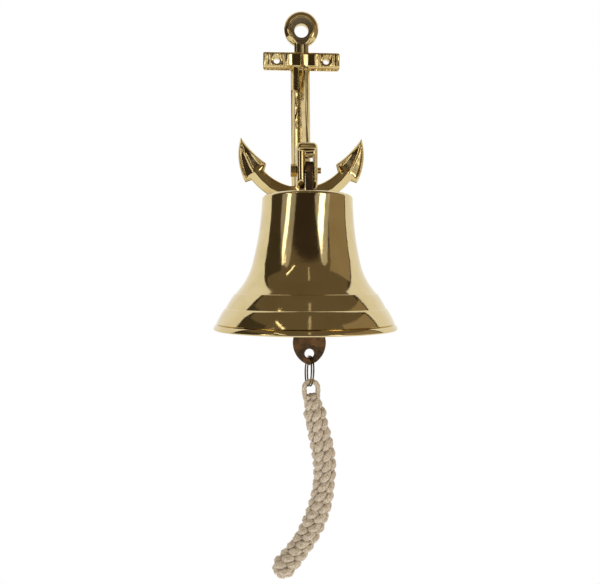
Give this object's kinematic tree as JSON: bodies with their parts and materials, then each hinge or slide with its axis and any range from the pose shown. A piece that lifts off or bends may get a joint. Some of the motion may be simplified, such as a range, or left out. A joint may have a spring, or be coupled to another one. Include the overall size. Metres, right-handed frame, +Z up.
{
  "type": "ship bell",
  "caption": "Brass ship bell hung by a bolt in the fork of an anchor-shaped wall bracket, with a flat clapper, a split ring and a braided cotton lanyard.",
  "frame": {"origin": "midway between the two stock screw holes, on the wall plane", "axes": "+X right along the stock, +Y into the wall, +Z up along the shank"},
  "size_m": [0.152, 0.163, 0.5108],
  "materials": {
    "cast_polished_brass": "sand cast, then hand polished",
    "turned_polished_brass": "turned and mirror polished",
    "dull_cast_brass": "rough cast and tarnished brown",
    "bolt_brass": "machined, slightly tarnished",
    "ring_brass": "drawn brass wire",
    "cotton_cord": "natural cotton, braided"
  },
  "bodies": {
    "bracket": {"anchor_bracket": "cast_polished_brass", "pivot_bolt": "bolt_brass"},
    "bell": {"bell": "turned_polished_brass", "bell_hanger": "dull_cast_brass", "hanger_washer": "bolt_brass", "hanger_nut": "bolt_brass"},
    "clapper": {"clapper": "dull_cast_brass", "clapper_pin": "bolt_brass"},
    "ring": {"split_ring": "ring_brass"},
    "lanyard": {"lanyard_eye": "cotton_cord", "lanyard_rope": "cotton_cord"}
  },
  "joints": [
    {"name": "bell_swing", "type": "hinge", "parent": "bracket", "child": "bell", "pos_m": [0.0022, -0.087, -0.12], "axis": [-1, 0, 0], "range_deg": [-3.5, 110]},
    {"name": "clapper_swing", "type": "hinge", "parent": "bell", "child": "clapper", "pos_m": [0.0022, -0.087, -0.161], "axis": [0, -1, 0], "range_deg": [-28, 28]},
    {"name": "ring_swing", "type": "hinge", "parent": "clapper", "child": "ring", "pos_m": [0.0022, -0.087, -0.2721], "axis": [0, -1, 0], "range_deg": [-45, 45]},
    {"name": "lanyard_swing", "type": "hinge", "parent": "ring", "child": "lanyard", "pos_m": [0.00297, -0.087, -0.28678], "axis": [-0.9768, -0.2079, -0.0512], "range_deg": [-20, 40]}
  ]
}
